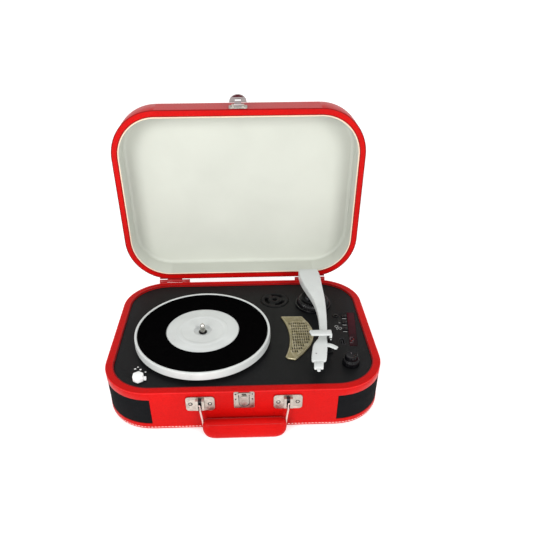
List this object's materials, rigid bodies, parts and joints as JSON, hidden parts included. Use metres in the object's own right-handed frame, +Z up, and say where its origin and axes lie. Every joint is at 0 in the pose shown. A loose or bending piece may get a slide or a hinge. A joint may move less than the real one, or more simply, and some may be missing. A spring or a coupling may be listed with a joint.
{
  "type": "suitcase record player",
  "caption": "Portable electric record player in a red leatherette suitcase with an open lid, tonearm, built-in speakers and a carrying handle.",
  "frame": {"origin": "centre of the case's underside, where the bottom panel's face is; the rubber feet stand 4 mm below it", "axes": "+X to the right along the case's width, +Y from the latch to the hinges, +Z up"},
  "size_m": [0.355, 0.3242, 0.3427],
  "materials": {
    "leatherette_red": "fine pebbled grain, semi-gloss",
    "lining_cream": "smooth matt",
    "plastic_black": "satin",
    "plastic_gloss_black": "glossy",
    "plastic_white": "glossy",
    "felt_black": "matt felt",
    "cloth_black": "woven, matt",
    "grille_gold": "satin olive gold",
    "chrome": "polished",
    "enamel_red": "dark red enamel, satin",
    "steel": "satin",
    "rubber_black": "matt",
    "fibreboard": "matt",
    "circuit_green": "satin",
    "display_maroon": "glossy, dark"
  },
  "bodies": {
    "case": {"base_shell": "leatherette_red", "bottom_panel": "fibreboard", "foot_front_left": "rubber_black", "foot_front_right": "rubber_black", "foot_rear_left": "rubber_black", "foot_rear_right": "rubber_black", "deck_plate": "plastic_black", "speaker_grille_left": "cloth_black", "speaker_grille_right": "cloth_black", "speaker_driver_left": "plastic_black", "speaker_driver_right": "plastic_black", "deck_grille": "grille_gold", "motor": "steel", "drive_belt": "rubber_black", "platter_bearing": "steel", "circuit_board": "circuit_green", "power_inlet": "plastic_gloss_black", "line_out_left": "plastic_gloss_black", "line_out_right": "plastic_gloss_black", "display_window": "display_maroon", "volume_control": "steel", "headphone_jack": "plastic_gloss_black", "usb_socket": "steel", "speed_switch": "plastic_black", "latch_plate": "chrome", "handle_bracket_left": "chrome", "handle_bracket_right": "chrome", "tonearm_turret": "plastic_gloss_black", "arm_rest": "plastic_black", "hinge_left_base_leaf": "enamel_red", "hinge_left_pin": "steel", "hinge_right_base_leaf": "enamel_red", "hinge_right_pin": "steel"},
    "turntable": {"platter": "plastic_white", "slipmat": "felt_black", "platter_spindle": "chrome"},
    "motor_rotor": {"motor_pulley": "plastic_black"},
    "adapter": {"adapter_45": "plastic_black"},
    "arm_base": {"tonearm_yoke": "plastic_black", "tonearm_pivot_pin": "steel"},
    "arm": {"tonearm": "plastic_white", "cartridge": "plastic_white", "stylus": "plastic_white"},
    "clip": {"arm_clip": "plastic_white"},
    "lid": {"lid_shell": "leatherette_red", "lid_lining": "lining_cream", "hinge_left_lid_leaf": "enamel_red", "hinge_right_lid_leaf": "enamel_red", "hasp_plate": "chrome"},
    "hasp": {"hasp_tongue": "chrome"},
    "lever": {"latch_lever": "chrome"},
    "handle": {"handle_wire": "chrome", "handle_grip": "leatherette_red"},
    "speed": {"speed_knob": "plastic_white"},
    "volume": {"volume_knob": "plastic_gloss_black"},
    "back": {"button_back": "plastic_gloss_black"},
    "play": {"button_play": "plastic_gloss_black"},
    "next": {"button_next": "plastic_gloss_black"}
  },
  "joints": [
    {"name": "lid_hinge", "type": "hinge", "parent": "case", "child": "lid", "pos_m": [0, 0.1325, 0.061], "axis": [1, 0, 0], "range_deg": [0, 90]},
    {"name": "hasp_fold", "type": "hinge", "parent": "lid", "child": "hasp", "pos_m": [0, 0.1351, 0.3277], "axis": [1, 0, 0], "range_deg": [0, 140]},
    {"name": "latch_release", "type": "hinge", "parent": "case", "child": "lever", "pos_m": [0, -0.1317, 0.0582], "axis": [1, 0, 0], "range_deg": [-60, 0], "stiffness_Nm_per_rad": 0.02},
    {"name": "handle_swing", "type": "hinge", "parent": "case", "child": "handle", "pos_m": [0, -0.1335, 0.0432], "axis": [1, 0, 0], "range_deg": [-105, 0]},
    {"name": "platter_spin", "type": "hinge", "parent": "case", "child": "turntable", "pos_m": [-0.0544, -0.0198, 0.07], "axis": [0, 0, -1], "continuous": true},
    {"name": "motor_spin", "type": "hinge", "parent": "case", "child": "motor_rotor", "pos_m": [-0.10743, -0.07283, 0.066], "axis": [0, 0, -1], "continuous": true},
    {"name": "tonearm_swing", "type": "hinge", "parent": "case", "child": "arm_base", "pos_m": [0.105, 0.06, 0.07], "axis": [0, 0, 1], "range_deg": [-42, 0]},
    {"name": "tonearm_lift", "type": "hinge", "parent": "arm_base", "child": "arm", "pos_m": [0.105, 0.06, 0.084], "axis": [1, 0, 0], "range_deg": [-2.5, 0]},
    {"name": "clip_swing", "type": "hinge", "parent": "case", "child": "clip", "pos_m": [0.1138, -0.053, 0.081], "axis": [0, -1, 0], "range_deg": [-100, 0]},
    {"name": "speed_turn", "type": "hinge", "parent": "case", "child": "speed", "pos_m": [-0.13, -0.103, 0.064], "axis": [0, 0, 1], "range_deg": [-30, 30]},
    {"name": "volume_turn", "type": "hinge", "parent": "case", "child": "volume", "pos_m": [0.1377, -0.08, 0.066], "axis": [0, 0, -1], "range_deg": [-140, 140]},
    {"name": "back_press", "type": "slide", "parent": "case", "child": "back", "axis": [0, 0, -1], "range_m": [0, 0.001], "stiffness_N_per_m": 200},
    {"name": "play_press", "type": "slide", "parent": "case", "child": "play", "axis": [0, 0, -1], "range_m": [0, 0.001], "stiffness_N_per_m": 200},
    {"name": "next_press", "type": "slide", "parent": "case", "child": "next", "axis": [0, 0, -1], "range_m": [0, 0.001], "stiffness_N_per_m": 200},
    {"name": "adapter_lift", "type": "slide", "parent": "case", "child": "adapter", "axis": [0, 0, -1], "range_m": [-0.03, 0]}
  ],
  "couplings": [
    {"joint": "motor_spin", "follows": "platter_spin", "ratio": 15.5}
  ]
}
